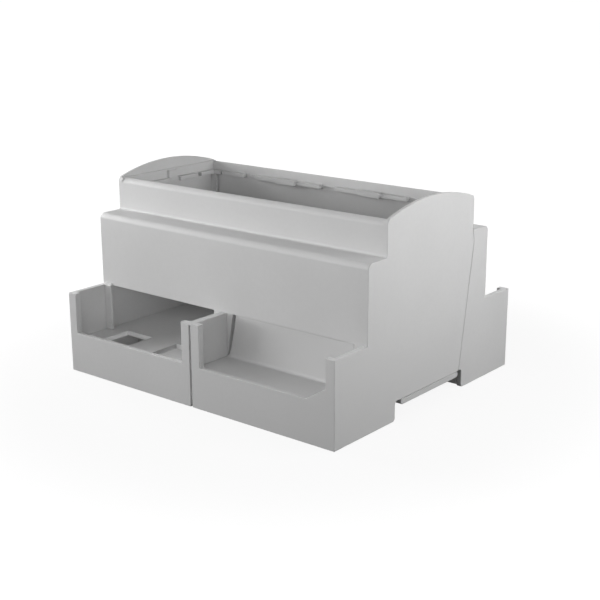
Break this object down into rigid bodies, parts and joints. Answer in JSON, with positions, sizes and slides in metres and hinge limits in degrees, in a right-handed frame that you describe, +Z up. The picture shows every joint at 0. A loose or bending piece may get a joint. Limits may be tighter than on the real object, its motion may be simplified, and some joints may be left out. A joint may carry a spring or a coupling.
{
  "type": "din rail enclosure",
  "caption": "Stepped modular enclosure for a mounting rail, with an open arched collar for a front panel, terminal bays on both long sides and sliding rail latches.",
  "frame": {"origin": "centre of the footprint on the plane of the feet", "axes": "+X along the mounting rail, +Y from the front bays with the fixed hooks to the back bays with the latches, +Z up from the feet to the collar"},
  "size_m": [0.106, 0.091, 0.0629],
  "materials": {
    "shell": "fine matt moulded",
    "base": "fine matt moulded",
    "cover": "fine matt moulded",
    "latch": "satin moulded"
  },
  "bodies": {
    "enclosure": {"main_housing": "shell", "rear_housing": "shell", "base": "base", "front_terminal_cover": "cover", "rear_terminal_cover": "cover"},
    "left_latch": {"left_rail_latch": "latch"},
    "right_latch": {"right_rail_latch": "latch"}
  },
  "joints": [
    {"name": "left_latch_slide", "type": "slide", "parent": "enclosure", "child": "left_latch", "axis": [0, 1, 0], "range_m": [0, 0.003]},
    {"name": "right_latch_slide", "type": "slide", "parent": "enclosure", "child": "right_latch", "axis": [0, 1, 0], "range_m": [0, 0.003]}
  ]
}
